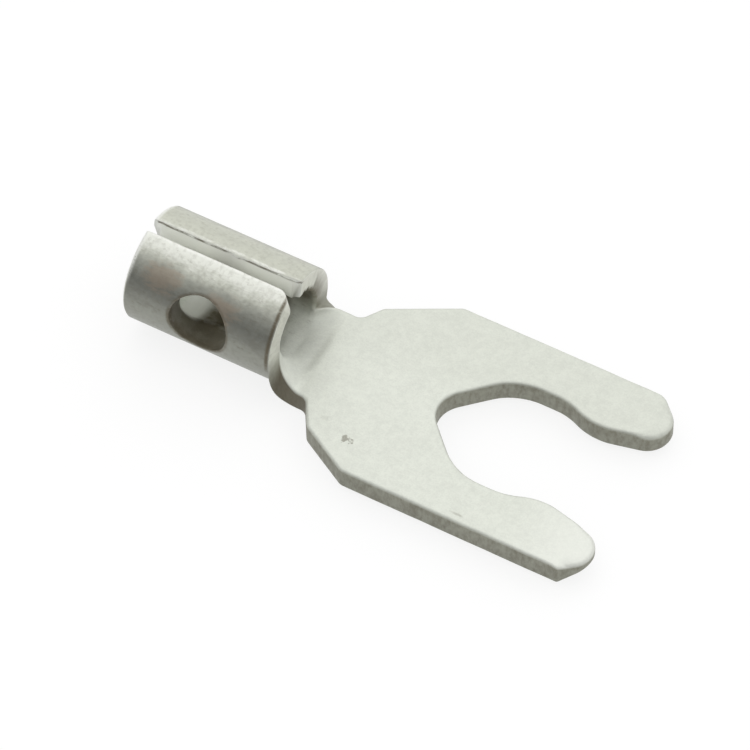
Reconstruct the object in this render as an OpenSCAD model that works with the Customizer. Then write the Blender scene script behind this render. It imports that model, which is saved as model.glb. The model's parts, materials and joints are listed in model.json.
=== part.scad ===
// Fork terminal: one stamped and rolled sheet with a wire barrel, a trough neck and a forked tongue.
// Origin on the stud axis at the tongue's underside, +X out of the fork's mouth, +Z up.

/* [Sheet] */
// Thickness of the sheet
sheet_t = 0.85; // [0.7:0.05:1]

/* [Tongue] */
// Width across the two tines
tongue_w = 7.8; // [7.4:0.1:8.6]
// From the stud axis back to the mean of the two shoulder corners
shoulder_back = 4; // [3.7:0.1:4.2]
// How far each shoulder corner lies from that mean, one forward and one back
shoulder_stagger = 0.16; // [0:0.02:0.2]
// Slope of the shoulders against the length, in degrees
shoulder_slope = 29.4; // [27:0.2:32]
// Slope of the short steep flanks between neck and shoulders, in degrees
flank_slope = 58; // [52:1:64]
// Rounding of the corners of the outline
corner_r = 0.35; // [0.1:0.05:0.4]

/* [Fork] */
// Radius of the seat that the stud lies in
stud_r = 2.15; // [1.9:0.05:2.2]
// Radius of the nose behind the seat
nose_r = 1; // [0.7:0.05:1.3]
// Half the angle between the straight walls that lead from the seat to the nose
nose_half_angle = 45; // [40:1:50]
// Gap at the throat that keeps the stud in
throat_gap = 3.56; // [3.3:0.02:3.7]
// From the stud axis forward to the throat
throat_ahead = 2.25; // [2.1:0.05:2.5]
// Radius of the bulge on each tine at the throat
throat_r = 2.2; // [1.8:0.1:2.4]
// Slope of the mouth's flare ahead of the throat, in degrees
mouth_flare = 13; // [10:1:15]

/* [Tips] */
// From the stud axis forward to the mean of the two tines' ends
tip_reach = 4.45; // [4.3:0.05:5.2]
// How far each end lies from that mean, one back and one forward
tip_stagger = 0.08; // [0:0.01:0.12]
// Radius of the tine's end, which runs on from the mouth's flare
tip_r = 0.8; // [0.6:0.02:0.9]
// How far the outer corner lies ahead of that radius's centre
tip_corner = 0.06; // [0.04:0.02:0.2]
// Height of the lead-in ramp under the tine's end, on the side with the hole
near_ramp = 0.45; // [0.1:0.05:0.5]
// The same ramp on the other side
far_ramp = 0.1; // [0.05:0.05:0.4]

/* [Neck] */
// From the stud axis back to the flanks
neck_back = 6.6; // [6.4:0.05:6.9]
// Length of the neck between the flanks and the barrel
neck_len = 1.3; // [1.2:0.05:1.8]
// Flat part of that length, next to the flanks
neck_flat = 0.2; // [0.2:0.05:0.4]
// Width of the neck, measured along the sheet
neck_w = 3.76; // [3.3:0.02:3.9]
// Rounding where the barrel's front edge runs into the neck's edge, on the side with the hole
neck_fillet = 0.65; // [0.5:0.05:0.7]
// The same rounding on the other side
far_fillet = 0.3; // [0.2:0.05:0.5]

/* [Barrel] */
// Outside diameter of the barrel
barrel_od = 4; // [3.8:0.1:4.4]
// Length of the barrel
barrel_len = 5.5; // [4.6:0.1:6.5]
// How far the barrel's underside lies below the tongue's
barrel_drop = 0.28; // [0:0.02:0.4]
// Angle of the open seam, in degrees
seam_angle = 14.6; // [8:0.2:20]
// Turn of the seam's middle off the top, towards the side with the hole, in degrees
seam_turn = 1.2; // [0:0.2:4]
// Depth of the lead-in cone at the wire mouth, along the barrel
mouth_depth = 0.3; // [0.1:0.05:0.5]
// Width of that cone across the wall
mouth_width = 0.55; // [0.3:0.05:0.55]
// Broken outer edge at the wire end
rim_break = 0.12; // [0.04:0.02:0.14]

/* [Side hole] */
// Diameter of the hole in the barrel's side
hole_d = 2.14; // [1.4:0.02:2.2]
// From the wire end to the hole's centre
hole_along = 2.8; // [2:0.05:3]
// Turn of the hole from the top of the barrel, in degrees
hole_turn = 79; // [70:1:100]

/* [Hidden] */
$fn = 96;
// Barrel: radii, middle radius of the wall, axis height and ends
barrel_r = barrel_od / 2;
bore_r = barrel_r - sheet_t;
mid_r = barrel_r - sheet_t / 2;
axis_z = barrel_r - barrel_drop;
front_x = -neck_back - neck_len;
wire_x = front_x - barrel_len;
// How far a cutting shape runs beyond the face that it cuts
past = 1;
// Neck: bent length, how far it runs on into barrel and tongue, and how much it tucks inside the wall's faces
bent_len = neck_len - neck_flat;
lap = 0.15;
tuck = 0.015;
// Neck: steps round the fillet, along the rest, and across
fillet_steps = 6;
bent_steps = 10;
across_steps = 28;
// Slot: centre of the nose, centre height of the throat's bulge, and run of the straight seat
half_w = tongue_w / 2;
nose_x = (nose_r - stud_r) / sin(nose_half_angle);
bulge_y = throat_gap / 2 + throat_r;
seat_run = throat_ahead - sqrt((stud_r + throat_r) ^ 2 - bulge_y ^ 2);
// Slot: points where seat and bulge touch, where the flare starts, and where it ends past the tips
touch = [seat_run, 0] + stud_r / (stud_r + throat_r) * [throat_ahead - seat_run, bulge_y];
flare = [throat_ahead + throat_r * sin(mouth_flare), bulge_y - throat_r * cos(mouth_flare)];
flare_end = flare + (tip_reach + past - flare[0]) * [1, tan(mouth_flare)];
// Shoulders and tips: the +Y side has its shoulder ahead and its tip back, and the -Y side the other way round
shoulder_x = [shoulder_stagger - shoulder_back, -shoulder_stagger - shoulder_back];
tip_x = [tip_reach - tip_stagger - tip_r, tip_reach + tip_stagger - tip_r];
tip_ramp = [far_ramp, near_ramp];
// Tips: small angle at which the round end crosses the flare
tip_skim = 10;
// Outline: steps round a corner and round a tip
corner_steps = 6;
tip_steps = 16;

// Unit vector at an angle
function dir(a) = [cos(a), sin(a)];

// Points of an arc about a centre
function arc(centre, r, from, sweep, steps) =
    [for (i = [0:steps]) centre + r * dir(from + sweep * i / steps)];

// Arc that rounds corner b between points a and c
function rounded(a, b, c) =
    let (
        u = (a - b) / norm(a - b),
        w = (c - b) / norm(c - b),
        half = acos(u * w) / 2,
        centre = b + corner_r / sin(half) * (u + w) / norm(u + w),
        start = b + corner_r / tan(half) * u - centre,
        turn = cross(u, w) < 0 ? 1 : -1
    )
    arc(centre, corner_r, atan2(start[1], start[0]), turn * (180 - 2 * half), corner_steps);

// Corner between the steep flank and a shoulder that ends at x
function knee(x) =
    let (run = (half_w - neck_w / 2 - (x + neck_back) * tan(shoulder_slope))
        / (tan(flank_slope) - tan(shoulder_slope)))
    [-neck_back + run, neck_w / 2 + run * tan(flank_slope)];

// Centre of a tine's round end, as on the +Y side
function tip_centre(side) =
    [tip_x[side], flare[1] + (tip_x[side] - flare[0]) * tan(mouth_flare) + tip_r * cos(tip_skim) / cos(mouth_flare)];

// Round end of a tine: from where a line from the outer corner touches it to just past the flare
function tip_end(side, corner) =
    let (
        centre = tip_centre(side),
        reach = corner - centre,
        turn = atan2(reach[1], reach[0]) - acos(min(1, tip_r / norm(reach)))
    ) [
        each arc(centre, tip_r, turn, mouth_flare - 90 - turn, tip_steps),
        centre + (tip_r + past / 2) * dir(mouth_flare - 90),
    ];

// Outline of one side of the tongue, as on the +Y side: neck, flank, shoulder, outer edge and tip
function side_outline(side) =
    let (
        start = [-neck_back - neck_flat, neck_w / 2],
        flank = [-neck_back, neck_w / 2],
        shoulder = [shoulder_x[side], half_w],
        corner = [tip_x[side] + tip_corner, half_w]
    ) [
        start,
        each rounded(start, flank, knee(shoulder[0])),
        each rounded(flank, knee(shoulder[0]), shoulder),
        each rounded(knee(shoulder[0]), shoulder, corner),
        corner,
        each tip_end(side, corner),
    ];

// Tongue's plan without the slot
module tongue_plan() {
    near = side_outline(1);
    polygon([
        each side_outline(0),
        for (i = [len(near) - 1:-1:0]) [near[i][0], -near[i][1]],
    ]);
}

// Slot's plan: seat, nose, throat and flared mouth
module slot_plan() {
    foot = [-sin(nose_half_angle), cos(nose_half_angle)];
    difference() {
        union() {
            circle(r = stud_r);
            translate([nose_x, 0]) circle(r = nose_r);
            translate([seat_run, 0]) circle(r = stud_r);
            for (side = [0, 1])
                mirror([0, side])
                    polygon([
                        [nose_x, -past / 2],
                        [nose_x, 0] + nose_r * foot,
                        stud_r * foot,
                        [0, stud_r],
                        [seat_run, stud_r],
                        touch,
                        flare,
                        flare_end,
                        [flare_end[0], -past / 2],
                    ]);
        }
        for (side = [-1, 1])
            translate([throat_ahead, side * bulge_y]) circle(r = throat_r);
    }
}

// Lead-in ramp to cut from under the tip of one tine
module tip_ramp_cut(side) {
    run = tip_r - tip_corner;
    translate([tip_x[side] + tip_corner, side == 0 ? 0 : -half_w - past, 0])
        rotate([90, 0, 0])
            translate([0, 0, -half_w - past])
                linear_extrude(half_w + past)
                    polygon([[0, 0], [0, -past], [2 * run, -past], [2 * run, 2 * tip_ramp[side]]]);
}

// Flat forked tongue
module tongue() {
    difference() {
        linear_extrude(sheet_t) tongue_plan();
        translate([0, 0, -past]) linear_extrude(sheet_t + 2 * past) slot_plan();
        for (side = [0, 1])
            tip_ramp_cut(side);
    }
}

// Neck: its bend eases from the barrel's curve to flat, and its edges keep their length along the sheet
function bend(d) =
    let (u = min(max(d / bent_len, 0), 1))
    (1 - u) ^ 2;
function neck_point(d, s, n) =
    let (k = max(bend(d) / mid_r, 0.000001), a = s * k * 180 / PI)
    [front_x + d, sin(a) / k - n * sin(a), sheet_t / 2 - barrel_drop * bend(d) + (1 - cos(a)) / k + n * cos(a)];

// Half width of the neck along the sheet, at a distance from the barrel, with fillet r
function neck_half(d, r) =
    let (left = min(max(r - d, 0), r))
    neck_w / 2 + r - sqrt(r ^ 2 - left ^ 2);

// Stations along the neck: distance from the barrel, and tuck
stations = [
    [-lap, tuck],
    for (i = [0:fillet_steps])
        [neck_fillet * (1 - cos(90 * i / fillet_steps)), tuck * (1 - i / fillet_steps)],
    for (i = [1:bent_steps])
        [neck_fillet + (bent_len - neck_fillet) * i / bent_steps, tuck * i / bent_steps],
    [bent_len + lap, tuck],
];

// Trough-shaped neck between barrel and tongue
module neck() {
    row = across_steps + 1;
    ring = 2 * row;
    last = len(stations) - 1;
    points = [
        for (st = stations, side = [-1, 1], j = [0:across_steps])
            let (
                in = st[0] > neck_fillet ? st[1] : 0,
                from = in - neck_half(st[0], neck_fillet),
                to = neck_half(st[0], far_fillet) - in
            )
            neck_point(st[0], from + (to - from) * j / across_steps, side * (sheet_t / 2 - st[1])),
    ];
    // Corner of the loft: station i, lower or upper face, step j across
    function at(i, up, j) = i * ring + up * row + j;
    quads = [
        for (i = [0:last - 1], j = [0:across_steps - 1])
            [at(i, 0, j), at(i, 0, j + 1), at(i + 1, 0, j + 1), at(i + 1, 0, j)],
        for (i = [0:last - 1], j = [0:across_steps - 1])
            [at(i, 1, j), at(i + 1, 1, j), at(i + 1, 1, j + 1), at(i, 1, j + 1)],
        for (i = [0:last - 1])
            [at(i, 0, 0), at(i + 1, 0, 0), at(i + 1, 1, 0), at(i, 1, 0)],
        for (i = [0:last - 1])
            [at(i, 0, across_steps), at(i, 1, across_steps), at(i + 1, 1, across_steps), at(i + 1, 0, across_steps)],
        for (j = [0:across_steps - 1])
            [at(0, 0, j), at(0, 1, j), at(0, 1, j + 1), at(0, 0, j + 1)],
        for (j = [0:across_steps - 1])
            [at(last, 0, j), at(last, 0, j + 1), at(last, 1, j + 1), at(last, 1, j)],
    ];
    polyhedron(points, [for (q = quads) each [[q[2], q[1], q[0]], [q[3], q[2], q[0]]]]);
}

// Rolled wire barrel with an open seam on top, a lead-in cone at the wire end and a hole in its side
module barrel() {
    translate([wire_x, 0, axis_z])
        difference() {
            rotate([0, 90, 0])
                rotate_extrude(angle = 360 - seam_angle, start = seam_angle / 2 + seam_turn - 180)
                    polygon([
                        [bore_r, mouth_depth],
                        [bore_r + mouth_width, 0],
                        [barrel_r - rim_break, 0],
                        [barrel_r, rim_break],
                        [barrel_r, barrel_len],
                        [bore_r, barrel_len],
                    ]);
            translate([hole_along, 0, 0])
                rotate([hole_turn, 0, 0]) cylinder(d = hole_d, h = barrel_r + past);
        }
}

// Terminal: the whole sheet
module terminal() {
    color([0.78, 0.78, 0.75]) {
        tongue();
        neck();
        barrel();
    }
}

terminal();
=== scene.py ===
"""Bare fork terminal: a stamped, rolled and tin-plated sheet, shown on a pale studio floor."""

import json
import math

import bmesh
import bpy
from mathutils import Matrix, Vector, noise


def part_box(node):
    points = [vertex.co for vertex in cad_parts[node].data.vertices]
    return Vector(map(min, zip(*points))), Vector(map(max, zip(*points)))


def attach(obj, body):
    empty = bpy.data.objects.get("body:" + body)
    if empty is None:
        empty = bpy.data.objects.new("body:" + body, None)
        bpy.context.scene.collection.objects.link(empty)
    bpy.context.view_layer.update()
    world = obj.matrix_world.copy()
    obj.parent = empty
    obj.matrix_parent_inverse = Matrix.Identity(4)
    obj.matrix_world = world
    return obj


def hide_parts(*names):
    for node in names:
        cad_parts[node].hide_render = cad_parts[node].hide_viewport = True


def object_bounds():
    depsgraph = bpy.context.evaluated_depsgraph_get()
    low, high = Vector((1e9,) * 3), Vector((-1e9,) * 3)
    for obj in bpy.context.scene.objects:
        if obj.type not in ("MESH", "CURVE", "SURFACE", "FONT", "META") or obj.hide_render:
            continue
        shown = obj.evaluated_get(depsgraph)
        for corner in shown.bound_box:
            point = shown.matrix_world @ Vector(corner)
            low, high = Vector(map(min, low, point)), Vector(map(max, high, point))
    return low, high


bl_info = {
    "name": "Fork Terminal",
    "version": (1, 0, 0),
    "blender": (4, 5, 0),
    "location": "3D View > Sidebar > Terminal",
    "description": "Rolls a tin-plated fork terminal from its flat blank and sets its studio stage",
    "category": "Object",
}

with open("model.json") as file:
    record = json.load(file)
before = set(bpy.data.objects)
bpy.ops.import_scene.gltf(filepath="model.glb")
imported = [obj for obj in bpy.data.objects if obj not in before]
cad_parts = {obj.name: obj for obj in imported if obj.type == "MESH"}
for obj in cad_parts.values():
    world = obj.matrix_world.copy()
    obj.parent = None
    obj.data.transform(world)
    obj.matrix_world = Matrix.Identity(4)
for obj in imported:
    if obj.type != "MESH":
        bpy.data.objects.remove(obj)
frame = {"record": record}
CAD_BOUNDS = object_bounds()
LOW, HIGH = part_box("terminal")
MOUNTS = {mount["name"]: mount["dims"] for mount in frame["record"]["mounts"]}
MM = 0.001
NOISE_SEED = 5


def length(name, description, default):
    """A length property in metres, shown with enough digits for a small stamping."""
    return bpy.props.FloatProperty(
        name=name, description=description, default=default, min=0.0, unit="LENGTH", precision=6
    )


def angle(name, description, degrees):
    """An angle property, given in degrees and kept in radians."""
    return bpy.props.FloatProperty(
        name=name, description=description, default=math.radians(degrees), subtype="ANGLE"
    )


def colour(name, description, default):
    """A linear colour property."""
    return bpy.props.FloatVectorProperty(
        name=name, description=description, default=default, size=3, min=0.0, max=1.0, subtype="COLOR"
    )


def share(name, description, default, top=1.0):
    """A plain number from 0 to a top value."""
    return bpy.props.FloatProperty(name=name, description=description, default=default, min=0.0, max=top)


class TerminalSizes(bpy.types.PropertyGroup):
    """Sizes of the flat blank and of the rolled barrel."""

    sheet: length("Sheet", "Thickness of the sheet", MOUNTS["stud_seat"]["length_mm"] * MM)
    tongue_width: length("Tongue width", "Width across the two tines", HIGH.y - LOW.y)
    shoulder_back: length("Shoulder back", "Stud axis to the mean shoulder corner", 4.0 * MM)
    shoulder_stagger: length("Shoulder stagger", "Each shoulder corner's distance from the mean", 0.16 * MM)
    shoulder_slope: angle("Shoulder slope", "Slope of the shoulders against the length", 29.4)
    flank_slope: angle("Flank slope", "Slope of the flanks between neck and shoulders", 58.0)
    corner_radius: length("Corner radius", "Rounding of the outline's corners", 0.35 * MM)
    seat_radius: length("Seat radius", "Radius of the stud's seat", MOUNTS["stud_seat"]["r_mm"] * MM)
    nose_radius: length("Nose radius", "Radius of the nose behind the seat", 1.0 * MM)
    nose_half_angle: angle("Nose half angle", "Half the angle between the walls behind the seat", 45.0)
    throat_gap: length("Throat gap", "Gap that keeps the stud in", 3.56 * MM)
    throat_ahead: length("Throat ahead", "Stud axis to the throat", 2.25 * MM)
    throat_radius: length("Throat radius", "Radius of the bulge on each tine", 2.2 * MM)
    mouth_flare: angle("Mouth flare", "Slope of the mouth's flare", 13.0)
    tip_reach: length("Tip reach", "Stud axis to the longer tine's end", HIGH.x)
    tip_stagger: length("Tip stagger", "How much shorter the other tine is", 0.16 * MM)
    tip_radius: length("Tip radius", "Radius of a tine's end", 0.8 * MM)
    tip_corner: length("Tip corner", "Outer corner ahead of that radius's centre", 0.06 * MM)
    near_tip_round: length("Near tip rounding", "Rounding of that corner, side with the hole", 0.2 * MM)
    far_tip_round: length("Far tip rounding", "Rounding of that corner, other side", 0.5 * MM)
    near_ramp: length("Near ramp", "Ramp under the tine's end, side with the hole", 0.45 * MM)
    far_ramp: length("Far ramp", "Ramp under the tine's end, other side", 0.1 * MM)
    tip_coin: length("Tip coining", "How far the rim of a tine's end is pressed down", 0.12 * MM)
    coin_reach: length("Coining reach", "How far in from the rim that pressing reaches", 0.45 * MM)
    neck_back: length("Neck back", "Stud axis to the flanks", 6.6 * MM)
    neck_length: length("Neck length", "Flanks to the barrel", 1.3 * MM)
    neck_flat: length("Neck flat", "Flat part of the neck's length", 0.2 * MM)
    neck_width: length("Neck width", "Width of the neck along the sheet", 3.76 * MM)
    near_fillet: length("Near fillet", "Rounding from barrel to neck, side with the hole", 0.65 * MM)
    far_fillet: length("Far fillet", "Rounding from barrel to neck, other side", 0.12 * MM)
    near_ear: length("Near ear", "Rounding of the barrel's front corner, side with the hole", 0.5 * MM)
    far_ear: length("Far ear", "Rounding of the barrel's front corner, other side", 0.14 * MM)
    bore_radius: length("Bore radius", "Inside radius of the barrel", MOUNTS["wire_bore"]["r_mm"] * MM)
    wire_back: length("Wire back", "Stud axis to the wire end", -LOW.x)
    barrel_drop: length("Barrel drop", "Barrel's underside below the tongue's", -LOW.z)
    seam_angle: angle("Seam angle", "Angle of the open seam", 14.6)
    seam_turn: angle("Seam turn", "Turn of the seam towards the side with the hole", 1.2)
    mouth_depth: length("Mouth depth", "Depth of the lead-in cone", 0.3 * MM)
    mouth_width: length("Mouth width", "Width of the lead-in cone across the wall", 0.55 * MM)
    rim_break: length("Rim break", "Broken outer edge at the wire end", 0.12 * MM)
    hole_diameter: length("Hole diameter", "Hole in the barrel's side", 2.14 * MM)
    hole_along: length("Hole along", "Wire end to the hole's centre", 2.8 * MM)
    hole_turn: angle("Hole turn", "Turn of the hole from the top", 79.0)
    die_roll: length("Die roll", "Rounding of the edges that the punch entered", 0.12 * MM)
    burr_edge: length("Burr edge", "Rounding of the edges that the punch left", 0.045 * MM)
    lip_curl: length("Lip curl", "Burr curled up at the front of the far lip", 0.05 * MM)
    lip_burr: length("Lip burr", "Ragged burr along the far lip", 0.03 * MM)
    nick_back: length("Nick back", "Stud axis to the nick in the far lip", 10.25 * MM)
    nick_width: length("Nick width", "Half width of that nick", 0.13 * MM)
    nick_depth: length("Nick depth", "Depth of that nick", 0.08 * MM)
    seam_lean: length("Seam lean", "How far the far seam wall leans in", 0.1 * MM)
    tear_depth: length("Tear depth", "How far the torn edge of the far ear is drawn back", 0.2 * MM)
    tear_level: length("Tear level", "Middle of the sheet to that torn edge", 0.2 * MM)
    wave_along: length("Wave along", "Slow unevenness along the part", 0.010 * MM)
    wave_across: length("Wave across", "Slow unevenness across the part", 0.012 * MM)
    fray_along: length("Fray along", "Fine unevenness of cut edges along the part", 0.006 * MM)
    fray_across: length("Fray across", "Fine unevenness of cut edges across the part", 0.008 * MM)


class TinFinish(bpy.types.PropertyGroup):
    """Colours and roughness of the plated sheet."""

    plate: colour("Plate", "Matte tin plating", (0.74, 0.765, 0.69))
    # Sheared colour: the cut walls, and painted shade on the far side of the tongue and of the barrel.
    sheared: colour("Sheared edge", "Cut walls of tongue and neck", (0.41, 0.415, 0.345))
    # Lip colour: painted light on the cut walls at the barrel's front, far paler than the sheared walls.
    lip: colour("Lip", "Cut walls of the barrel's front", (0.95, 0.955, 0.88))
    # Soot colour: pits, specks and marks, darker hole walls and torn edge, and painted shade in the bore,
    # under the far lip, under its burr and behind the near ear's front.
    soot: colour("Soot", "Dirt in the side hole and under the far lip", (0.14, 0.118, 0.076))
    stain: colour("Stain", "Brown stains on the barrel", (0.36, 0.29, 0.22))
    # Worn colour: the worn end of the near tine, and painted highlights on the barrel's crown, wire-end rim
    # and lips, and painted light in the bore, the neck's trough and on the seam walls.
    worn: colour("Worn edge", "Bright worn edges of the barrel", (0.92, 0.93, 0.88))
    metallic: share("Metallic", "How much the plating mirrors its surroundings", 0.55)
    roughness: share("Roughness", "Roughness of the plating", 0.4)


class StudioStage(bpy.types.PropertyGroup):
    """Camera, floor and light."""

    azimuth: angle("Azimuth", "Camera's turn round the part", 29.17)
    elevation: angle("Elevation", "Camera's height above the horizon", 52.61)
    distance: length("Distance", "Camera to its aim", 212.0 * MM)
    lens: bpy.props.FloatProperty(name="Lens", description="Focal length in mm", default=313.7, min=1.0)
    aim: bpy.props.FloatVectorProperty(
        name="Aim",
        description="Point at the picture's centre",
        default=(-4.705 * MM, -0.592 * MM, 1.751 * MM),
        subtype="TRANSLATION",
    )
    floor: colour("Floor", "Pale floor", (0.22, 0.22, 0.22))
    floor_reach: length("Floor reach", "Middle of the floor to its sides", 0.6)
    floor_lift: share("Floor lift", "White that the floor shows beyond its lit colour", 0.81)
    bright: share("Bright side", "Light from above and behind the part", 1.2, top=10.0)
    dim: share("Dim side", "Light from the camera's horizon", 0.05, top=10.0)
    lean: angle("Lean", "How far the brightest part of the dome leans behind the part", 25.0)


class Blank:
    """The flat blank in millimetres, and how it rolls up: x is along the part, s across, n through it."""

    def __init__(self, sizes):
        for name in sizes.__annotations__:
            value = getattr(sizes, name)
            is_length = sizes.bl_rna.properties[name].unit == "LENGTH"
            setattr(self, name, value / MM if is_length else value)
        self.half_sheet = self.sheet / 2
        self.half_width = self.tongue_width / 2
        self.mid_radius = self.bore_radius + self.half_sheet
        self.front_x = -self.neck_back - self.neck_length
        self.wire_x = -self.wire_back
        self.bent_length = self.neck_length - self.neck_flat
        self.neck_end = self.front_x + self.bent_length
        self.hole_x = self.wire_x + self.hole_along
        self.hole_s = -self.mid_radius * (math.pi - self.hole_turn)
        self.hole_radius = self.hole_diameter / 2

    def tip_centre(self, side):
        """Centre of a tine's round end, which runs on from the mouth's flare, drawn as on +s."""
        flare = self.mouth_flare
        start = Vector((
            self.throat_ahead + self.throat_radius * math.sin(flare),
            self.throat_gap / 2 + self.throat_radius * (1 - math.cos(flare)),
        ))
        x = self.tip_reach - (self.tip_stagger if side > 0 else 0) - self.tip_radius
        return Vector((x, start.y + (x - start.x) * math.tan(flare) + self.tip_radius / math.cos(flare)))

    def seam(self, side):
        """Half the barrel's developed width, on the far side (1) or the side with the hole (-1)."""
        return self.mid_radius * (math.pi - self.seam_angle / 2 + side * self.seam_turn)

    def bend(self, x):
        """Share of the barrel's curve that the sheet has at x."""
        along = min(max((x - self.front_x) / self.bent_length, 0.0), 1.0)
        return (1 - along) ** 2

    def rolled(self, x, s, n):
        """Place of a blank point in the finished part, in millimetres."""
        bend = self.bend(x)
        curve = max(bend / self.mid_radius, 1e-6)
        turn = s * curve
        rise = self.half_sheet - self.barrel_drop * bend
        return Vector((
            x,
            math.sin(turn) / curve - n * math.sin(turn),
            rise + (1 - math.cos(turn)) / curve + n * math.cos(turn),
        ))

    def drilled(self, x, s, n):
        """The point's s once the side hole's walls stand parallel, as a drilled hole's do."""
        along = x - self.hole_x
        if abs(along) >= self.hole_radius:
            return s
        across = s - self.hole_s
        side = math.copysign(1, across)
        chord = math.sqrt(self.hole_radius**2 - along**2)
        rim = self.mid_radius * math.asin(chord / self.mid_radius)
        wanted = self.mid_radius * math.asin(min(chord / (self.mid_radius - n), 0.985))
        room = 2.0 if side > 0 else self.seam(-1) + self.hole_s - rim
        fade = 1 - min(max((abs(across) - rim) / room, 0.0), 1.0)
        return s + side * (wanted - rim) * fade


class Pen:
    """Draws an outline of the blank by straight lines and spun arcs, as on +s, or mirrored for side -1."""

    def __init__(self, bm, x, s, side=1):
        self.bm = bm
        self.side = side
        self.end = bm.verts.new((x, side * s, 0))

    def line(self, x, s):
        """Straight on to a point."""
        self.end = bmesh.ops.extrude_vert_indiv(self.bm, verts=[self.end])["verts"][0]
        self.end.co = (x, self.side * s, 0)

    def arc(self, x, s, sweep, steps):
        """On round a centre, by an angle in radians."""
        made = bmesh.ops.spin(
            self.bm,
            geom=[self.end],
            cent=(x, self.side * s, 0),
            axis=(0, 0, 1),
            angle=self.side * sweep,
            steps=steps,
        )
        self.end = next(v for v in made["geom_last"] if isinstance(v, bmesh.types.BMVert))

    def corner(self, corner, after, radius, steps=6):
        """Straight to a corner, which is rounded towards the point after it."""
        here = Vector((self.end.co.x, self.side * self.end.co.y))
        back, ahead = (here - corner).normalized(), (after - corner).normalized()
        half = back.angle(ahead) / 2
        centre = corner + (back + ahead).normalized() * radius / math.sin(half)
        turn = 1 if back.cross(ahead) < 0 else -1
        self.line(*(corner + back * radius / math.tan(half)))
        self.arc(*centre, turn * (math.pi - 2 * half), steps)


def draw_neck(pen, b):
    """From the barrel's front edge round the fillet to the neck."""
    fillet = b.far_fillet if pen.side > 0 else b.near_fillet
    neck = b.neck_width / 2
    pen.line(b.front_x, neck + fillet)
    pen.arc(b.front_x + fillet, neck + fillet, math.pi / 2, 8)
    pen.line(b.neck_end, neck)


def draw_tongue(pen, b):
    """From the neck along flank and shoulder, round the tine's end, to the mouth's flare."""
    neck = b.neck_width / 2
    shoulder_x = pen.side * b.shoulder_stagger - b.shoulder_back
    climb, rise = math.tan(b.flank_slope), math.tan(b.shoulder_slope)
    run = (b.half_width - neck - (shoulder_x + b.neck_back) * rise) / (climb - rise)
    flank = Vector((-b.neck_back, neck))
    knee = flank + run * Vector((1, climb))
    shoulder = Vector((shoulder_x, b.half_width))
    centre = b.tip_centre(pen.side)
    tip = Vector((centre.x + b.tip_corner, b.half_width))
    reach = tip - centre
    touch = math.atan2(reach.y, reach.x) - math.acos(b.tip_radius / reach.length)
    end = centre + b.tip_radius * Vector((math.cos(touch), math.sin(touch)))
    pen.corner(flank, knee, b.corner_radius)
    pen.corner(knee, shoulder, b.corner_radius)
    pen.corner(shoulder, tip, b.corner_radius)
    pen.corner(tip, end, b.far_tip_round if pen.side > 0 else b.near_tip_round)
    pen.line(*end)
    pen.arc(*centre, b.mouth_flare - math.pi / 2 - touch, 18)


def draw_slot(pen, b):
    """From the mouth's flare over the throat's bulge and round the seat to the nose."""
    bulge = Vector((b.throat_ahead, b.throat_gap / 2 + b.throat_radius))
    reach = b.seat_radius + b.throat_radius
    seat_run = b.throat_ahead - math.sqrt(reach**2 - bulge.y**2)
    lean = math.atan2(bulge.y, b.throat_ahead - seat_run)
    flare = b.mouth_flare - math.pi / 2
    nose_x = (b.nose_radius - b.seat_radius) / math.sin(b.nose_half_angle)
    back = math.pi / 2 + b.nose_half_angle
    pen.line(bulge.x + b.throat_radius * math.cos(flare), bulge.y + b.throat_radius * math.sin(flare))
    pen.arc(*bulge, lean - math.pi - flare, 10)
    pen.arc(seat_run, 0, math.pi / 2 - lean, 8)
    pen.line(0, b.seat_radius)
    pen.arc(0, 0, b.nose_half_angle, 12)
    pen.line(nose_x + b.nose_radius * math.cos(back), b.nose_radius * math.sin(back))
    pen.arc(nose_x, 0, math.pi - back, 10)


def blank_mesh(b):
    """Flat blank of two faces that meet on a line through the side hole."""
    bm = bmesh.new()
    ear = Pen(bm, b.wire_x, -b.hole_s, -1)
    ear.line(b.wire_x, b.seam(-1))
    ear.corner(Vector((b.front_x, b.seam(-1))), Vector((b.front_x, 0)), b.near_ear)
    ear.line(b.front_x, -b.hole_s)
    near = Pen(bm, b.front_x, -b.hole_s, -1)
    far = Pen(bm, b.wire_x, b.hole_s)
    far.line(b.wire_x, b.seam(1))
    far.corner(Vector((b.front_x, b.seam(1))), Vector((b.front_x, 0)), b.far_ear)
    for pen in (near, far):
        draw_neck(pen, b)
        draw_tongue(pen, b)
        draw_slot(pen, b)
    ring = bmesh.ops.create_circle(bm, segments=44, radius=b.hole_radius)["verts"]
    for v in ring:
        v.co = (v.co.x + b.hole_x, b.hole_s + b.mid_radius * math.asin(v.co.y / b.mid_radius), 0)
    for x, end_x in ((b.wire_x, b.hole_x - b.hole_radius), (b.front_x, b.hole_x + b.hole_radius)):
        Pen(bm, x, b.hole_s).line(end_x, b.hole_s)
    bmesh.ops.remove_doubles(bm, verts=bm.verts[:], dist=1e-4)

    def lies(edge, low, high):
        return all(low < v.co.y - b.hole_s < high and v.co.x < b.front_x + 1e-3 for v in edge.verts)

    split = [e for e in bm.edges if lies(e, -1e-3, 1e-3)]
    below = [e for e in bm.edges if lies(e, -1e3, 1e-3)]
    above = [e for e in bm.edges if not lies(e, -1e3, 1e-3)] + split
    for edges in (below, above):
        bmesh.ops.contextual_create(bm, geom=edges)
    bmesh.ops.translate(bm, vec=(0, 0, -b.half_sheet), verts=bm.verts[:])
    return bm


def with_edges(faces):
    """Faces with their edges and corners, each named once."""
    return list(dict.fromkeys(part for f in faces for part in (*f.verts, *f.edges, f)))


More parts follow.
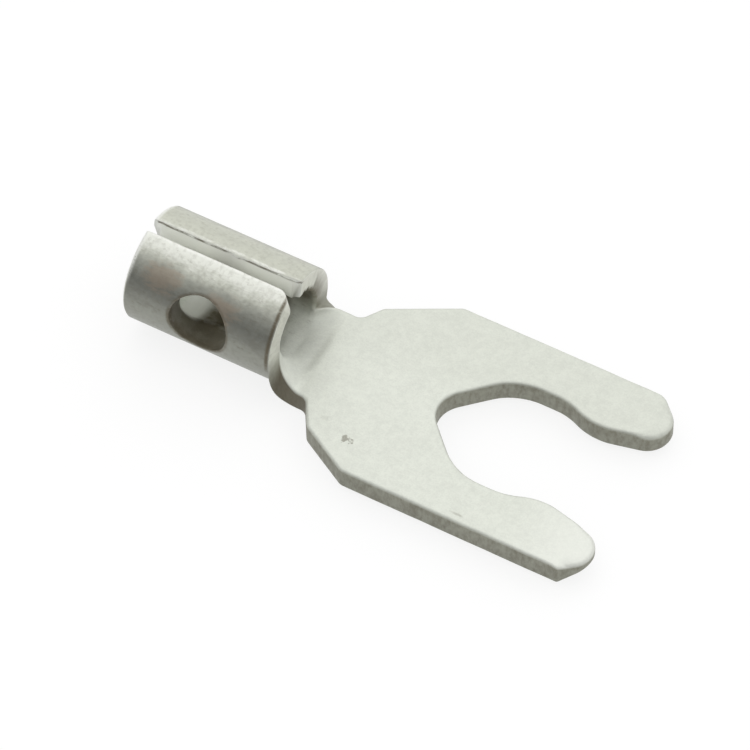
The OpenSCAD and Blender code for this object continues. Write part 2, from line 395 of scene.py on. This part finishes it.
def ramp_tips(bm, b):
    """Lifts the underside of each tine's end to a ramp."""
    for side, ramp in ((1, b.far_ramp), (-1, b.near_ramp)):
        corner = b.tip_centre(side).x + b.tip_corner
        under = with_edges(f for f in bm.faces if f.normal.z < -0.5)
        bmesh.ops.bisect_plane(bm, geom=under, dist=1e-5, plane_co=(corner, 0, 0), plane_no=(1, 0, 0))
        slope = ramp / (b.tip_radius - b.tip_corner)
        for v in bm.verts:
            if v.co.z < 0 and v.co.y * side > 0 and v.co.x > corner:
                v.co.z += slope * (v.co.x - corner)


def open_mouth(bm, b):
    """Slopes the wire end's inner edge back to the lead-in cone."""
    end = [f for f in bm.faces if f.normal.x < -0.9 and f.calc_center_median().x < b.wire_x + 0.01]
    level = b.half_sheet - b.mouth_width
    bmesh.ops.bisect_plane(bm, geom=with_edges(end), dist=1e-5, plane_co=(0, 0, level), plane_no=(0, 0, 1))
    for v in bm.verts:
        if v.co.x < b.wire_x + 0.01 and v.co.z > level + 0.01:
            v.co.x += b.mouth_depth


def round_edges(bm, b):
    """Rounds the stamped edges: soft where the punch went in, crisp where it came out."""
    kind = bm.faces.layers.int.new("kind")
    for f in bm.faces:
        f[kind] = 1 if f.normal.z > 0.999 else -1 if f.normal.z < -0.8 else 0

    def edges(side, wire):
        return [
            e
            for e in bm.edges
            if sorted(f[kind] for f in e.link_faces) == sorted((side, 0))
            and all(v.co.x < b.wire_x + 0.01 for v in e.verts) == wire
        ]

    options = dict(
        offset_type="OFFSET", profile=0.5, affect="EDGES", clamp_overlap=False, material=-1, loop_slide=True
    )
    bmesh.ops.bevel(bm, geom=edges(1, False), offset=b.die_roll, segments=4, **options)
    bmesh.ops.bevel(bm, geom=edges(-1, True), offset=b.rim_break, segments=3, **options)
    bmesh.ops.bevel(bm, geom=edges(-1, False), offset=b.burr_edge, segments=2, **options)


def spaced(low, high, step):
    """Even places between two ends, about a step apart."""
    count = math.ceil((high - low) / step)
    return [low + (high - low) * i / count for i in range(1, count)]


def cut(bm, axis, places, keep=lambda p: True):
    """Cuts the faces whose middles are kept, by planes across one axis."""
    normal = Vector((axis == 0, axis == 1, axis == 2))
    for place in places:
        kept = with_edges(f for f in bm.faces if keep(f.calc_center_median()))
        bmesh.ops.bisect_plane(bm, geom=kept, dist=1e-4, plane_co=normal * place, plane_no=normal)


def cut_grid(bm, b):
    """Cuts the blank into faces small enough to roll, to coin and to show its edges' unevenness."""
    coarse, medium, rim_step, fine, torn_step = 0.35, 0.16, 0.09, 0.07, 0.05
    turn_step = b.mid_radius * math.radians(4)
    rim, ear, front = b.tip_reach - 1.2, b.seam(1) - 1.1, b.front_x
    cut(bm, 0, [*spaced(b.wire_x, front, medium), front])
    cut(bm, 0, [*spaced(front, b.neck_end, fine), b.neck_end])
    cut(bm, 0, spaced(b.neck_end, rim, coarse))
    cut(bm, 0, spaced(rim - 0.1, b.tip_reach, fine))
    cut(bm, 1, spaced(-b.seam(-1), b.seam(1), turn_step), lambda p: p.x < b.neck_end)
    cut(bm, 1, spaced(ear, b.seam(1), torn_step), lambda p: front - 0.4 < p.x < front + 0.02 and p.y > ear)
    cut(bm, 2, spaced(-0.36, 0.3, torn_step), lambda p: front - 0.02 < p.x < front + 0.02 and p.y > ear)
    rows = spaced(1.9, b.half_width, rim_step)
    cut(bm, 1, [side * row for row in rows for side in (1, -1)], lambda p: p.x > rim and p.z > 0)


def smooth(value, low, high):
    """Smooth step from 0 at low to 1 at high."""
    u = min(max((value - low) / (high - low), 0.0), 1.0)
    return u * u * (3 - 2 * u)


def broken(b, x, s, n):
    """How far a point lies in the torn inner edge of the far ear's front, from 0 to 1."""
    gap = b.seam(1) - s
    ragged = 0.2 * noise.noise((s * 5.0, n * 2.0, 2.0))
    torn = smooth(n - b.tear_level + ragged, 0.0, 0.06) * smooth(gap, 1.1, 0.9)
    return torn * smooth(x, b.front_x - 0.3, b.front_x - 0.03) if x < b.front_x + 0.02 else 0.0


def dirt_and_shade_share(b, x, s, n, wall):
    """Share of soot colour on a point: darker on the side hole's walls and on the far ear's torn edge,
    painted shade in the bore and under the far lip.
    """
    # Darker on the side hole's walls.
    hole = wall * smooth(math.hypot(x - b.hole_x, s - b.hole_s), 2.1, 1.8)
    inner = smooth(n, 0.1, 0.35)
    # Painted shade deeper in the bore.
    bore = 0.9 * inner * smooth(x, b.hole_x - 0.85, b.hole_x - 0.45)
    bore *= smooth(x, b.front_x - 0.6, b.front_x - 1.2)
    bore *= smooth(b.seam(-1) - abs(s), 0.2, 0.8)
    # Painted shade under the far lip.
    corner = 0.85 * inner * smooth(s, 1.4, 2.7) * smooth(x, b.front_x - 1.0, b.front_x - 0.5)
    corner *= smooth(b.seam(1) - s, 0.1, 0.4)
    corner *= smooth(x, b.front_x + 0.5, b.front_x + 0.1)
    return max(0.65 * hole, bore, corner, 0.8 * broken(b, x, s, n))


def worked(b, x, s, n):
    """A blank point after coining and handling: rims pressed down, edges uneven, a burr on the far lip."""
    side = 1 if s > 0 else -1
    inner = smooth(n, 0.0, b.half_sheet)
    centre = b.tip_centre(side)
    inside = b.tip_radius - math.hypot(x - centre.x, abs(s) - centre.y)
    rim = 1 - min(max(inside / b.coin_reach, 0.0), 1.0)
    n -= b.tip_coin * rim * rim * inner * smooth(x, centre.x - 0.25, centre.x + 0.3)
    coarse = noise.noise_vector((x * 1.1, s * 1.1, 3.0))
    fine = noise.noise_vector((x * 4.0, s * 4.0, n * 4.0 + 9.0))
    edge = smooth(b.half_sheet - abs(n), 0.0, 0.06)
    x += b.wave_along * coarse.x + b.fray_along * fine.x * edge
    s += b.wave_across * coarse.y + b.fray_across * fine.y * edge
    if x < b.front_x + 0.05:
        seam = b.seam(1)
        lip = smooth(s, seam - 0.1, seam - 0.02) * smooth(-n, b.half_sheet - 0.12, b.half_sheet - 0.02)
        curl = b.lip_curl * smooth(x, b.front_x - 0.75, b.front_x - 0.15)
        ragged = b.lip_burr * max(noise.noise((x * 5.0, 1.0, 4.0)) + 0.25, 0.0)
        nick = b.nick_depth * math.exp(-(((x + b.nick_back) / b.nick_width) ** 2))
        n -= lip * (curl + ragged - nick)
        s += b.seam_lean * smooth(s, seam - 0.3, seam - 0.05) * smooth(n, -0.2, 0.4)
        x -= b.tear_depth * broken(b, x, s, n)
    return x, s, n


def roll_up(bm, b):
    """Moves every vertex from the flat blank to the finished part, and keeps where it came from."""
    flat = bm.verts.layers.float_vector.new("flat")
    cut_share = bm.verts.layers.float.new("cut")
    dirt = bm.verts.layers.float.new("dirt")
    noise.seed_set(NOISE_SEED)
    for v in bm.verts:
        x, s, n = v.co
        wall = min(smooth(b.half_sheet - n, 0.03, b.die_roll), smooth(b.half_sheet + n, 0.005, b.burr_edge))
        s = b.drilled(x, s, n)
        v[flat] = (x, s, n)
        v[cut_share] = wall
        v[dirt] = dirt_and_shade_share(b, x, s, n, wall)
        v.co = b.rolled(*worked(b, x, s, n)) * MM
    bmesh.ops.recalc_face_normals(bm, faces=bm.faces[:])
    for f in bm.faces:
        f.smooth = True


def make_terminal(sizes):
    """The terminal as one closed mesh object at the origin."""
    b = Blank(sizes)
    bm = blank_mesh(b)
    bmesh.ops.recalc_face_normals(bm, faces=bm.faces[:])
    made = bmesh.ops.extrude_face_region(bm, geom=bm.faces[:])
    lifted = [v for v in made["geom"] if isinstance(v, bmesh.types.BMVert)]
    bmesh.ops.translate(bm, vec=(0, 0, b.sheet), verts=lifted)
    bmesh.ops.recalc_face_normals(bm, faces=bm.faces[:])
    ramp_tips(bm, b)
    open_mouth(bm, b)
    bm.normal_update()
    round_edges(bm, b)
    cut_grid(bm, b)
    roll_up(bm, b)
    mesh = bpy.data.meshes.new("fork_terminal")
    bm.to_mesh(mesh)
    bm.free()
    piece = bpy.data.objects.new("fork_terminal", mesh)
    bpy.context.scene.collection.objects.link(piece)
    weighted = piece.modifiers.new("Even shading", "WEIGHTED_NORMAL")
    weighted.weight = 60
    weighted.keep_sharp = True
    return piece


class Nodes:
    """Short ways to add shader nodes to a tree."""

    def __init__(self, tree):
        self.tree = tree

    def add(self, kind, inputs=None, **settings):
        """A node, its settings, and its inputs as values or links."""
        node = self.tree.nodes.new(kind)
        for key, value in settings.items():
            setattr(node, key, value)
        for key, value in (inputs or {}).items():
            if isinstance(value, bpy.types.NodeSocket):
                self.tree.links.new(value, node.inputs[key])
            else:
                node.inputs[key].default_value = value
        return node

    def attribute(self, name, output="Fac"):
        """A vertex attribute of the piece."""
        return self.add("ShaderNodeAttribute", attribute_name=name).outputs[output]

    def math(self, operation, *values, clamp=False):
        """One step of arithmetic."""
        node = self.add("ShaderNodeMath", dict(enumerate(values)), operation=operation, use_clamp=clamp)
        return node.outputs[0]

    def vector(self, operation, *values, output="Vector"):
        """One step of arithmetic on vectors."""
        return self.add("ShaderNodeVectorMath", dict(enumerate(values)), operation=operation).outputs[output]

    def product(self, first, *others):
        """Masks multiplied."""
        for other in others:
            first = self.math("MULTIPLY", first, other)
        return first

    def ramp(self, value, low, high, to_low=0.0, to_high=1.0):
        """Smooth step of a value from low to high."""
        return self.add(
            "ShaderNodeMapRange",
            {"Value": value, "From Min": low, "From Max": high, "To Min": to_low, "To Max": to_high},
            interpolation_type="SMOOTHSTEP",
        ).outputs[0]

    def levels(self, value, steps, tint):
        """A tint at several levels, given as pairs of position and level."""
        node = self.add("ShaderNodeValToRGB", {"Fac": value})
        while len(node.color_ramp.elements) < len(steps):
            node.color_ramp.elements.new(0.5)
        for element, (position, level) in zip(node.color_ramp.elements, steps):
            element.position = position
            element.color = (*(level * part for part in tint), 1.0)
        return node.outputs["Color"]

    def mix(self, factor, a, b, blend="MIX"):
        """Colours a and b mixed. Each is a link or three numbers."""
        node = self.add("ShaderNodeMix", data_type="RGBA", blend_type=blend)
        for index, value in ((0, factor), (6, a), (7, b)):
            if isinstance(value, bpy.types.NodeSocket):
                self.tree.links.new(value, node.inputs[index])
            else:
                node.inputs[index].default_value = value if index == 0 else (*value, 1.0)
        return node.outputs[2]

    def noise(self, vector, scale, detail, roughness):
        """Noise from 0 to 1, with its scale per millimetre of the blank."""
        return self.add(
            "ShaderNodeTexNoise", {"Vector": vector, "Scale": scale, "Detail": detail, "Roughness": roughness}
        ).outputs["Fac"]


class TinPlating:
    """Layers of the plated sheet's colour and of its painted light and shade, laid out on the flat blank's x,
    s and n.
    """

    def __init__(self, nodes, finish, b):
        self.nodes, self.b = nodes, b
        for name in ("plate", "sheared", "lip", "soot", "stain", "worn"):
            setattr(self, name, tuple(getattr(finish, name)))
        self.flat = nodes.attribute("flat", "Vector")
        self.cut = nodes.attribute("cut")
        self.dirt = nodes.attribute("dirt")
        place = nodes.add("ShaderNodeSeparateXYZ", {"Vector": self.flat}).outputs
        self.x, self.s, self.n = place["X"], place["Y"], place["Z"]
        self.across = nodes.math("ABSOLUTE", self.s)

        # Grain of the plating, mottling, and streaks along the barrel
        self.streaked = nodes.vector("MULTIPLY", self.flat, (0.3, 1.0, 1.0))
        self.mottle = nodes.noise(self.flat, 1.7, 4.0, 0.6)
        self.patches = nodes.noise(self.flat, 5.0, 3.0, 0.6)
        self.blotch = nodes.noise(self.flat, 8.0, 2.0, 0.55)
        self.grain = nodes.noise(self.flat, 16.0, 3.0, 0.65)
        self.streak = nodes.noise(self.streaked, 6.0, 4.0, 0.65)
        self.lines = nodes.noise(nodes.vector("MULTIPLY", self.flat, (1.0, 1.0, 0.45)), 6.0, 5.0, 0.7)
        self.tone = nodes.math("MULTIPLY", self.mottle, 0.3)
        for part in (self.patches, self.grain):
            self.tone = nodes.math("MULTIPLY_ADD", part, 0.35, self.tone)

        # Regions of the blank
        self.barrel = nodes.ramp(self.x, b.front_x + 0.35, b.front_x - 0.1)
        self.outer = nodes.ramp(self.n, 0.05, -0.2)
        self.inner = nodes.ramp(self.n, 0.2, 0.4)
        self.outside = nodes.product(self.barrel, self.outer)
        self.seam = nodes.product(self.barrel, nodes.ramp(self.across, b.seam(-1) - 0.12, b.seam(-1) - 0.03))
        self.trough = nodes.product(
            nodes.ramp(self.x, b.front_x + 1.0, b.front_x + 0.5),
            nodes.ramp(self.x, b.front_x - 0.8, b.front_x),
            nodes.ramp(self.s, 1.9, 1.2),
            self.inner,
        )

    def plating(self):
        """Tin, brighter at the end of the near tine, with a little painted shade on the far side."""
        nodes = self.nodes
        pale = tuple(min(c * 1.07, 1.0) for c in self.plate)
        dark = tuple(c * 0.92 for c in self.plate)
        base = nodes.mix(nodes.ramp(self.tone, 0.35, 0.65), dark, pale)
        tip = nodes.ramp(self.x, 1.0, self.b.tip_reach, 0.0, 0.45)
        tip = nodes.product(tip, nodes.ramp(self.s, 0.5, -1.0))
        base = nodes.mix(tip, base, self.worn)
        # Painted shade on the far side of the tongue.
        return nodes.mix(nodes.ramp(self.s, 0.0, 2.0, 0.0, 0.1), base, self.sheared)

    def rolling(self, base):
        """The barrel's outside: painted shade darkening its sides, a painted highlight on the near crown,
        pits and specks, and painted shade on the far side.
        """
        nodes = self.nodes
        turn = nodes.math("DIVIDE", self.across, -math.pi * self.b.mid_radius)
        turn = nodes.math("ADD", turn, nodes.math("MULTIPLY_ADD", self.streak, 0.14, -0.07))
        turn = nodes.math("ADD", turn, nodes.ramp(self.s, -0.5, 0.5, 1.0, 0.9))
        # Painted shade round the barrel: full at the top, a dark band on the sides, lighter again underneath.
        steps = (
            (0.10, 1.00),
            (0.16, 0.80),
            (0.21, 0.57),
            (0.27, 0.40),
            (0.33, 0.31),
            (0.38, 0.34),
            (0.47, 0.50),
            (1.00, 0.75),
        )
        base = nodes.mix(self.outside, base, nodes.levels(turn, steps, (1.0, 0.99, 0.96)), "MULTIPLY")
        # Painted highlight along the top of the barrel on the side with the hole.
        crown_highlight = nodes.ramp(turn, 0.17, 0.1, 0.0, 0.55)
        crown_highlight = nodes.product(crown_highlight, self.outside, nodes.ramp(self.s, 0.0, -1.0))
        base = nodes.mix(crown_highlight, base, self.worn)
        pits = nodes.ramp(nodes.noise(self.streaked, 9.0, 4.0, 0.7), 0.56, 0.76, 0.0, 0.4)
        base = nodes.mix(nodes.product(pits, self.barrel), base, self.soot)
        specks = nodes.product(nodes.ramp(self.blotch, 0.42, 0.72, 0.0, 0.18), self.outside)
        base = nodes.mix(specks, base, self.soot)
        # Painted shade on the far side of the barrel.
        far = nodes.product(nodes.ramp(self.s, 2.6, 3.8, 0.0, 0.28), self.outside)
        return nodes.mix(far, base, self.sheared)

    def inside(self, base):
        """Painted light in the bore at the side hole, and a little in the neck's trough."""
        nodes, hole = self.nodes, self.b.hole_x
        # Painted light on the bore's floor, seen through the side hole.
        bore = nodes.product(
            nodes.ramp(self.x, hole, hole - 0.4), nodes.ramp(self.x, hole - 1.7, hole - 1.2), self.inner
        )
        base = nodes.mix(bore, base, self.worn)
        # Painted light in the neck's trough.
        return nodes.mix(nodes.product(self.trough, 0.15), base, self.worn)

    def spot(self, base, place, reach, ragged, edge, weight, tint):
        """A mark with a ragged edge: its place on the blank, its reach along and across, and its weight."""
        nodes = self.nodes
        away = nodes.vector("SUBTRACT", self.flat, place)
        away = nodes.vector("MULTIPLY", away, (1 / reach[0], 1 / reach[1], 10.0))
        away = nodes.vector("LENGTH", away, output="Value")
        away = nodes.math("ADD", away, nodes.math("MULTIPLY_ADD", edge, 2 * ragged, -ragged))
        return nodes.mix(nodes.ramp(away, 1.3, 0.5, 0.0, weight), base, tint)

    def marks(self, base):
        """Brown stains on the barrel's outside, and small dark marks on the tongue's top."""
        b, top = self.b, self.b.half_sheet
        for x, s, reach in ((b.hole_x - 1.6, -3.72, (0.6, 0.4)), (b.hole_x + 0.6, -3.5, (0.7, 0.45))):
            base = self.spot(base, (x, s, -top), reach, 1.2, self.streak, 0.6, self.stain)
        for x, s, reach, ragged, weight in (
            (-4.59, -2.73, (0.16, 0.11), 2.2, 0.6),
            (-5.60, -2.32, (0.14, 0.10), 0.8, 0.12),
            (-0.02, -3.62, (0.22, 0.05), 0.6, 0.3),
            (-7.05, 0.20, (0.12, 1.30), 0.6, 0.06),
        ):
            base = self.spot(base, (x, s, top), reach, ragged, self.blotch, weight, self.soot)
        return base

    def walls(self, base):
        """Cut walls: dark on the tongue, painted light on the barrel's front, painted light on the seam walls
        with a painted shadow line under the far lip's burr.
        """
        nodes, front = self.nodes, self.b.front_x
        # Pale lip colour on the barrel front's cut walls: painted light.
        lip = nodes.product(self.barrel, nodes.ramp(self.across, 2.0, 2.7))
        wall = nodes.mix(lip, self.sheared, self.lip)
        lined = nodes.ramp(self.lines, 0.35, 0.7, 0.0, 0.5)
        lined = nodes.product(lined, nodes.ramp(self.barrel, 0.0, 1.0, 1.0, 0.3))
        wall = nodes.mix(lined, wall, self.soot)
        tinge = nodes.product(
            nodes.ramp(self.x, front + 2.2, front + 1.4),
            nodes.ramp(self.x, front, front + 0.3),
            nodes.ramp(self.s, 0.0, -0.5, 0.0, 0.75),
        )
        wall = nodes.mix(tinge, wall, self.soot)
        # Painted shadow line on the far seam wall under the lip's burr.
        burr_shadow = nodes.product(
            nodes.ramp(self.n, -0.41, -0.38),
            nodes.ramp(self.n, -0.28, -0.34),
            nodes.ramp(self.s, 0.0, 1.0),
            nodes.ramp(self.streak, 0.35, 0.6, 0.0, 0.9),
        )
        # Seam walls take the bright worn colour as painted light, with that painted shadow line.
        wall = nodes.mix(self.seam, wall, nodes.mix(burr_shadow, self.worn, self.soot))
        return nodes.mix(self.cut, base, wall)

    def edges(self, base):
        """Painted highlights at the wire end and on both lips, and a painted shadow line behind the near
        ear's front.
        """
        nodes, b = self.nodes, self.b
        # Painted highlights: the wire end's outer rim, and the far and near lips' edges.
        rim = nodes.product(
            nodes.ramp(self.x, b.wire_x + 0.2, b.wire_x + 0.08), self.outer, nodes.ramp(self.across, 3.0, 3.9)
        )
        far = nodes.product(
            nodes.ramp(self.s, b.seam(1) - 0.14, b.seam(1) - 0.06),
            nodes.ramp(self.n, -0.36, -0.4),
            self.barrel,
            nodes.ramp(self.streak, 0.4, 0.65, 0.1, 0.8),
        )
        near = nodes.product(
            nodes.ramp(self.s, 0.14 - b.seam(-1), 0.05 - b.seam(-1)),
            nodes.ramp(self.n, -0.34, -0.4),
            self.barrel,
            nodes.ramp(self.patches, 0.35, 0.6, 0.1, 0.9),
        )
        bright = nodes.math("MAXIMUM", rim, nodes.math("MAXIMUM", far, near))
        base = nodes.mix(nodes.product(bright, nodes.ramp(self.grain, 0.25, 0.5)), base, self.worn)
        # Painted shadow line behind the near ear's front.
        line = nodes.product(
            nodes.ramp(self.x, b.front_x - 0.2, b.front_x - 0.1),
            nodes.ramp(self.x, b.front_x, b.front_x - 0.06),
            nodes.ramp(self.s, -2.0, -2.6),
            nodes.ramp(self.n, -0.3, -0.4),
            nodes.ramp(self.streak, 0.3, 0.55, 0.4, 0.9),
        )
        return nodes.mix(line, base, self.soot)

    def grime(self, base):
        """A dark ring round the side hole, and the dirt and painted shade that the vertices carry."""
        nodes, b = self.nodes, self.b
        along = nodes.math("SUBTRACT", self.x, b.hole_x)
        turn = nodes.math("DIVIDE", nodes.math("SUBTRACT", self.s, b.hole_s), b.mid_radius)
        chord = nodes.math("SINE", turn)
        chord = nodes.math("MULTIPLY", chord, nodes.math("SUBTRACT", b.mid_radius, self.n))
        away = nodes.math("MULTIPLY_ADD", along, along, nodes.math("MULTIPLY", chord, chord))
        ring = nodes.product(
            nodes.ramp(nodes.math("SQRT", away), b.hole_radius + 0.15, b.hole_radius + 0.03),
            nodes.ramp(self.n, 0.0, -0.3),
            nodes.ramp(self.s, 0.0, -1.0),
            nodes.ramp(self.streak, 0.3, 0.6, 0.35, 0.8),
        )
        base = nodes.mix(ring, base, self.soot)
        # Soot where the vertices carry dirt and painted shade.
        dirt = nodes.math("MULTIPLY", self.dirt, nodes.ramp(self.mottle, 0.2, 0.6, 0.7, 1.1), clamp=True)
        return nodes.mix(dirt, base, self.soot)


def tin_material(finish, b):
    """Matte tin plating with sheared edges, painted shade and highlights on the barrel, painted light in the
    bore and seam, stains, dirt, and painted shade under the far lip.
    """
    material = bpy.data.materials.new("tin_plate")
    material.use_nodes = True
    tree = material.node_tree
    nodes = Nodes(tree)
    tin = TinPlating(nodes, finish, b)
    base = tin.plating()
    for layer in (tin.rolling, tin.inside, tin.marks, tin.walls, tin.edges, tin.grime):
        base = layer(base)
    rough = nodes.ramp(tin.tone, 0.3, 0.7, finish.roughness - 0.06, finish.roughness + 0.08)
    rough = nodes.math("MULTIPLY_ADD", tin.cut, 0.15, rough)
    rough = nodes.math("MULTIPLY_ADD", tin.trough, 0.35, rough)
    relief = nodes.math("MULTIPLY_ADD", nodes.product(tin.lines, tin.cut), 2.0, tin.grain)
    bump = nodes.add("ShaderNodeBump", {"Height": relief, "Strength": 0.25, "Distance": 0.02 * MM})
    shader = tree.nodes["Principled BSDF"]
    for name, value in (
        ("Base Color", base),
        ("Metallic", nodes.ramp(tin.trough, 0.0, 1.0, finish.metallic, 0.1)),
        ("Roughness", rough),
        ("Normal", bump.outputs["Normal"]),
    ):
        tree.links.new(value, shader.inputs[name])
    return material


class TERMINAL_OT_make_sheet(bpy.types.Operator):
    """Stamp, bevel, roll and plate the terminal, in place of the plain solid"""

    bl_idname = "terminal.make_sheet"
    bl_label = "Make Terminal"

    def execute(self, context):
        sizes = context.scene.terminal_sizes
        piece = make_terminal(sizes)
        piece.data.materials.append(tin_material(context.scene.terminal_finish, Blank(sizes)))
        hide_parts("terminal")
        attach(piece, "root")
        return {"FINISHED"}


def make_floor(stage):
    """Pale floor under the part's lowest point."""
    bm = bmesh.new()
    bmesh.ops.create_grid(bm, x_segments=1, y_segments=1, size=stage.floor_reach)
    bmesh.ops.translate(bm, vec=(0, 0, CAD_BOUNDS[0].z), verts=bm.verts[:])
    mesh = bpy.data.meshes.new("floor")
    bm.to_mesh(mesh)
    bm.free()
    floor = bpy.data.objects.new("floor", mesh)
    bpy.context.scene.collection.objects.link(floor)
    material = bpy.data.materials.new("pale_floor")
    material.use_nodes = True
    tree = material.node_tree
    nodes = Nodes(tree)
    shader = tree.nodes["Principled BSDF"]
    shader.inputs["Base Color"].default_value = (*stage.floor, 1.0)
    shader.inputs["Roughness"].default_value = 0.9
    shader.inputs["Specular IOR Level"].default_value = 0.0
    path = nodes.add("ShaderNodeLightPath").outputs
    seen = nodes.math("MAXIMUM", path["Is Camera Ray"], path["Is Glossy Ray"])
    seen = nodes.math("MAXIMUM", seen, path["Is Transmission Ray"])
    strength = nodes.math("MULTIPLY", seen, stage.floor_lift)
    lift = nodes.add("ShaderNodeEmission", {"Color": (1, 1, 1, 1), "Strength": strength})
    both = nodes.add("ShaderNodeAddShader")
    tree.links.new(shader.outputs[0], both.inputs[0])
    tree.links.new(lift.outputs[0], both.inputs[1])
    tree.links.new(both.outputs[0], tree.nodes["Material Output"].inputs["Surface"])
    mesh.materials.append(material)


def make_world(stage):
    """Soft dome of light, brightest above and behind the part."""
    world = bpy.data.worlds.new("studio_dome")
    world.use_nodes = True
    nodes = Nodes(world.node_tree)
    direction = nodes.add("ShaderNodeTexCoord").outputs["Generated"]
    axis = (0.0, math.sin(stage.lean), math.cos(stage.lean))
    height = nodes.vector("DOT_PRODUCT", direction, axis, output="Value")
    level = nodes.add(
        "ShaderNodeMapRange",
        {"Value": height, "From Min": -0.6, "From Max": 1.0, "To Min": stage.dim, "To Max": stage.bright},
    ).outputs[0]
    world.node_tree.links.new(level, world.node_tree.nodes["Background"].inputs["Strength"])
    world.node_tree.nodes["Background"].inputs["Color"].default_value = (1, 1, 1, 1)
    bpy.context.scene.world = world


def make_camera(stage):
    """Camera at the photograph's angle."""
    data = bpy.data.cameras.new("camera")
    data.sensor_width = 36.0
    data.lens = stage.lens
    data.clip_start = 0.01
    camera = bpy.data.objects.new("camera", data)
    turn, lift = stage.azimuth, stage.elevation
    back = Vector((math.sin(turn) * math.cos(lift), -math.cos(turn) * math.cos(lift), math.sin(lift)))
    camera.location = Vector(stage.aim) + back * stage.distance
    camera.rotation_mode = "QUATERNION"
    camera.rotation_quaternion = (-back).to_track_quat("-Z", "Y")
    bpy.context.scene.collection.objects.link(camera)
    bpy.context.scene.camera = camera


class TERMINAL_OT_set_stage(bpy.types.Operator):
    """Lay the floor, light the dome and aim the camera"""

    bl_idname = "terminal.set_stage"
    bl_label = "Set Stage"

    def execute(self, context):
        stage = context.scene.terminal_stage
        make_floor(stage)
        make_world(stage)
        make_camera(stage)
        context.scene.view_settings.view_transform = "Standard"
        return {"FINISHED"}


class TERMINAL_PT_panel(bpy.types.Panel):
    """Lists the terminal's operators and settings"""

    bl_label = "Fork Terminal"
    bl_space_type = "VIEW_3D"
    bl_region_type = "UI"
    bl_category = "Terminal"

    def draw(self, context):
        layout = self.layout
        for operator, group in (
            (TERMINAL_OT_make_sheet, context.scene.terminal_sizes),
            (None, context.scene.terminal_finish),
            (TERMINAL_OT_set_stage, context.scene.terminal_stage),
        ):
            if operator:
                layout.operator(operator.bl_idname)
            box = layout.box()
            for name in group.__annotations__:
                box.prop(group, name)


CLASSES = (
    TerminalSizes,
    TinFinish,
    StudioStage,
    TERMINAL_OT_make_sheet,
    TERMINAL_OT_set_stage,
    TERMINAL_PT_panel,
)


def register():
    for cls in CLASSES:
        bpy.utils.register_class(cls)
    bpy.types.Scene.terminal_sizes = bpy.props.PointerProperty(type=TerminalSizes)
    bpy.types.Scene.terminal_finish = bpy.props.PointerProperty(type=TinFinish)
    bpy.types.Scene.terminal_stage = bpy.props.PointerProperty(type=StudioStage)


def unregister():
    del bpy.types.Scene.terminal_stage
    del bpy.types.Scene.terminal_finish
    del bpy.types.Scene.terminal_sizes
    for cls in reversed(CLASSES):
        bpy.utils.unregister_class(cls)


def main():
    register()
    bpy.ops.terminal.make_sheet()
    bpy.ops.terminal.set_stage()


if __name__ == "__main__":
    main()
